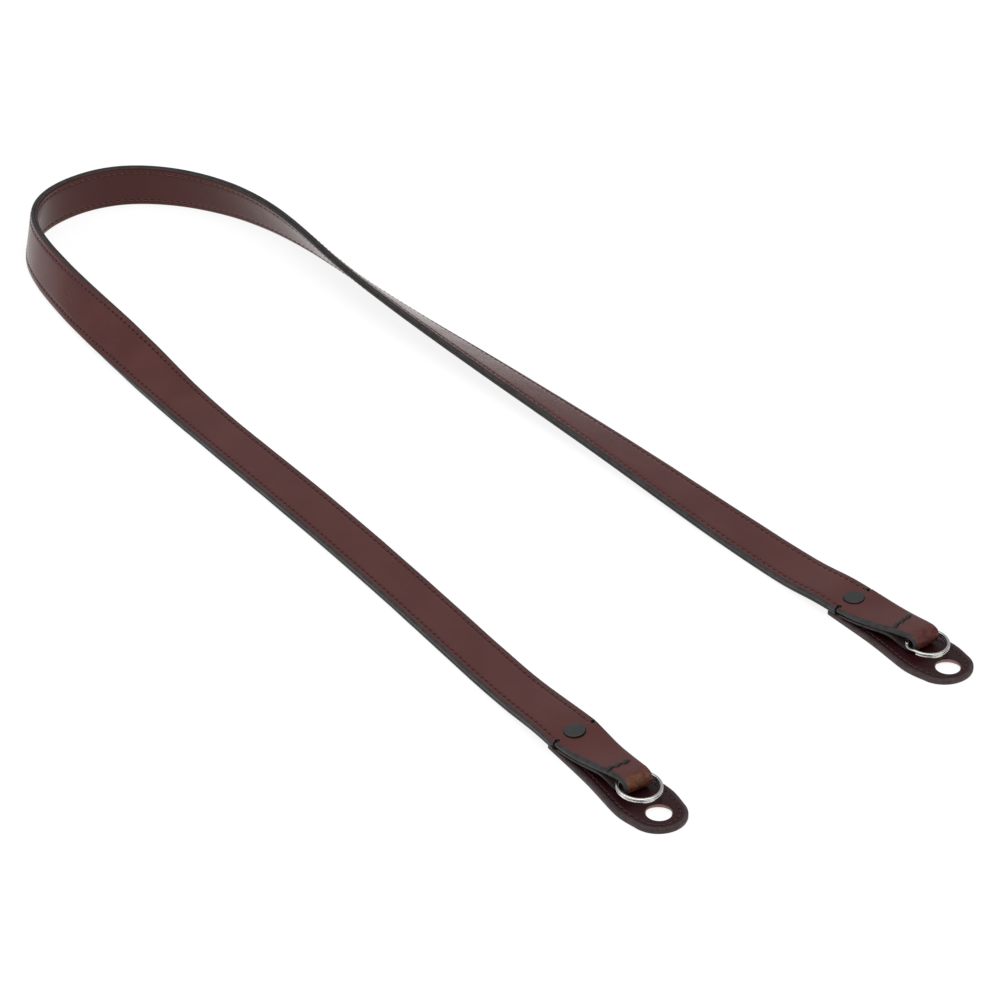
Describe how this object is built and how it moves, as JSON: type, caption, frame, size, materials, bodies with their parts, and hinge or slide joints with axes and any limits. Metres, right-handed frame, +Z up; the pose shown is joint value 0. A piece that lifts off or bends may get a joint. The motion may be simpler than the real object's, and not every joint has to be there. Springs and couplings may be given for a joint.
{
  "type": "camera neck strap",
  "caption": "Two-ply leather neck strap lying in a long U; each end is a folded tongue that holds a split ring above a round-ended protector flap fastened by a snap.",
  "frame": {"origin": "the middle of the lying strap's box, on the floor under it", "axes": "+X runs from the bend of the U towards the two ends, +Y from the left branch to the right one, +Z up from the floor"},
  "size_m": [0.4972, 0.1562, 0.0186],
  "materials": {
    "grain_leather": "semi-gloss dark burgundy-brown grain with painted grey edges and dark red stitching",
    "lining_leather": "matte dark brown with orange-brown stitching",
    "flap_leather": "glossy dark burgundy with a painted rim and a stitch row",
    "ring_steel": "polished",
    "snap_metal": "satin dark grey"
  },
  "bodies": {
    "root": {"strap_outer": "grain_leather", "strap_lining": "lining_leather", "flap_left": "flap_leather", "flap_right": "flap_leather", "ring_left": "ring_steel", "ring_right": "ring_steel", "snap_left": "snap_metal", "snap_right": "snap_metal"}
  },
  "joints": []
}
